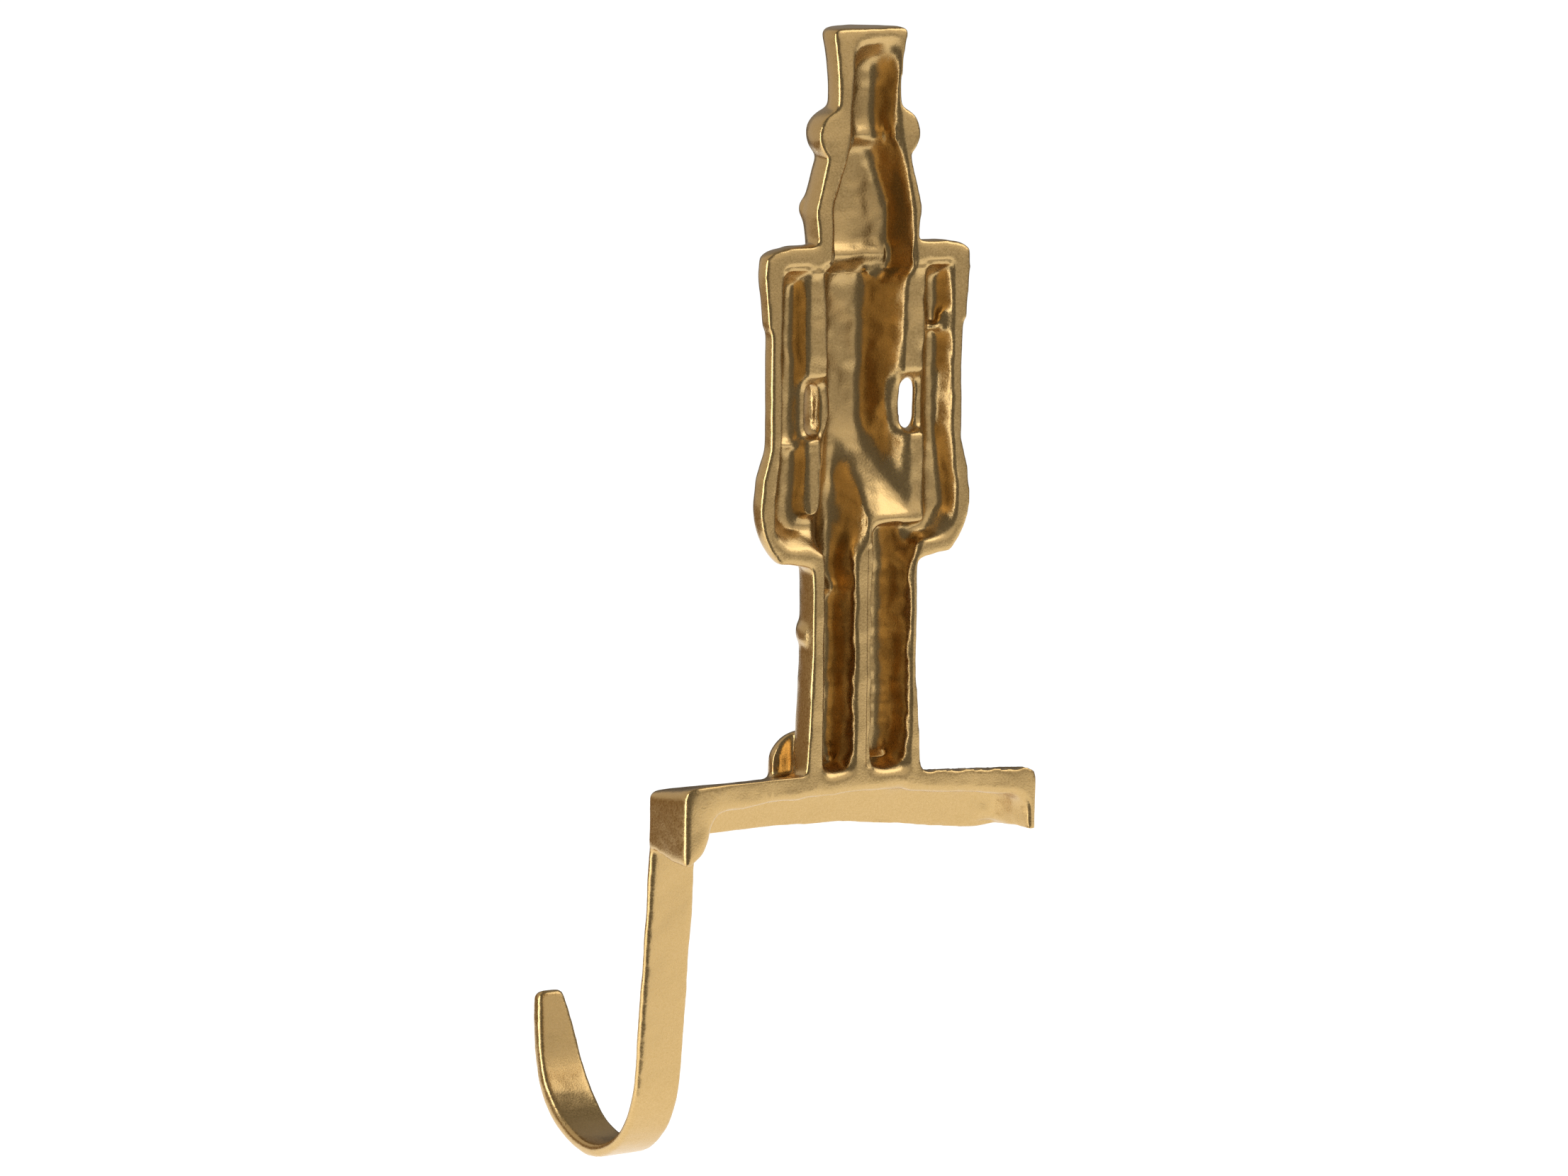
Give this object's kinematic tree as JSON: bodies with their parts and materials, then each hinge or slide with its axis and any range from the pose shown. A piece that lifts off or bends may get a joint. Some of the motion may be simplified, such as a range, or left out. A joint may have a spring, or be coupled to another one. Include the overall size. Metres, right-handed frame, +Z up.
{
  "type": "mantel stocking holder",
  "caption": "Hollow-backed nutcracker soldier figure on an arched base, cast in one piece with a flat J-hook that hangs a stocking in front of a mantel's edge.",
  "frame": {"origin": "on the level seat under the base, where the mantel's front edge crosses the figure's middle plane", "axes": "+Z up, the figure faces -Y and its open back faces +Y, the hook is at the +X end of the base"},
  "size_m": [0.088, 0.0761, 0.2505],
  "materials": {
    "gold_casting": "satin"
  },
  "bodies": {
    "root": {"stocking_holder_casting": "gold_casting"}
  },
  "joints": []
}
